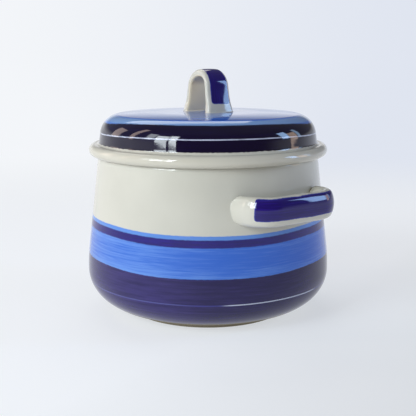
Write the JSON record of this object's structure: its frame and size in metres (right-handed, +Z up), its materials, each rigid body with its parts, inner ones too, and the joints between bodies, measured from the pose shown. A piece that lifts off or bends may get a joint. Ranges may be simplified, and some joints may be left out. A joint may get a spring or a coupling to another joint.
{
  "type": "casserole dish",
  "caption": "Round-bellied glazed stoneware casserole with side handles and a lift-off domed lid that carries a strap handle, painted in blue and navy bands.",
  "frame": {"origin": "on the pot's axis, at the surface that the foot ring stands on", "axes": "+Z up along the pot's axis, X through the two side handles"},
  "size_m": [0.233, 0.2, 0.1972],
  "materials": {
    "pot_glaze": "glossy cream glaze with brushed blue and navy bands",
    "lid_glaze": "glossy glaze, blue top, navy side, cream flange",
    "handle_glaze": "glossy navy panel with cream edges"
  },
  "bodies": {
    "pot_body": {"pot": "pot_glaze", "side_handle_right": "handle_glaze", "side_handle_left": "handle_glaze"},
    "lid_body": {"lid": "lid_glaze", "lid_handle": "handle_glaze"}
  },
  "joints": [
    {"name": "lid_lift", "type": "slide", "parent": "pot_body", "child": "lid_body", "axis": [0, 0, 1], "range_m": [0, 0.12]}
  ]
}
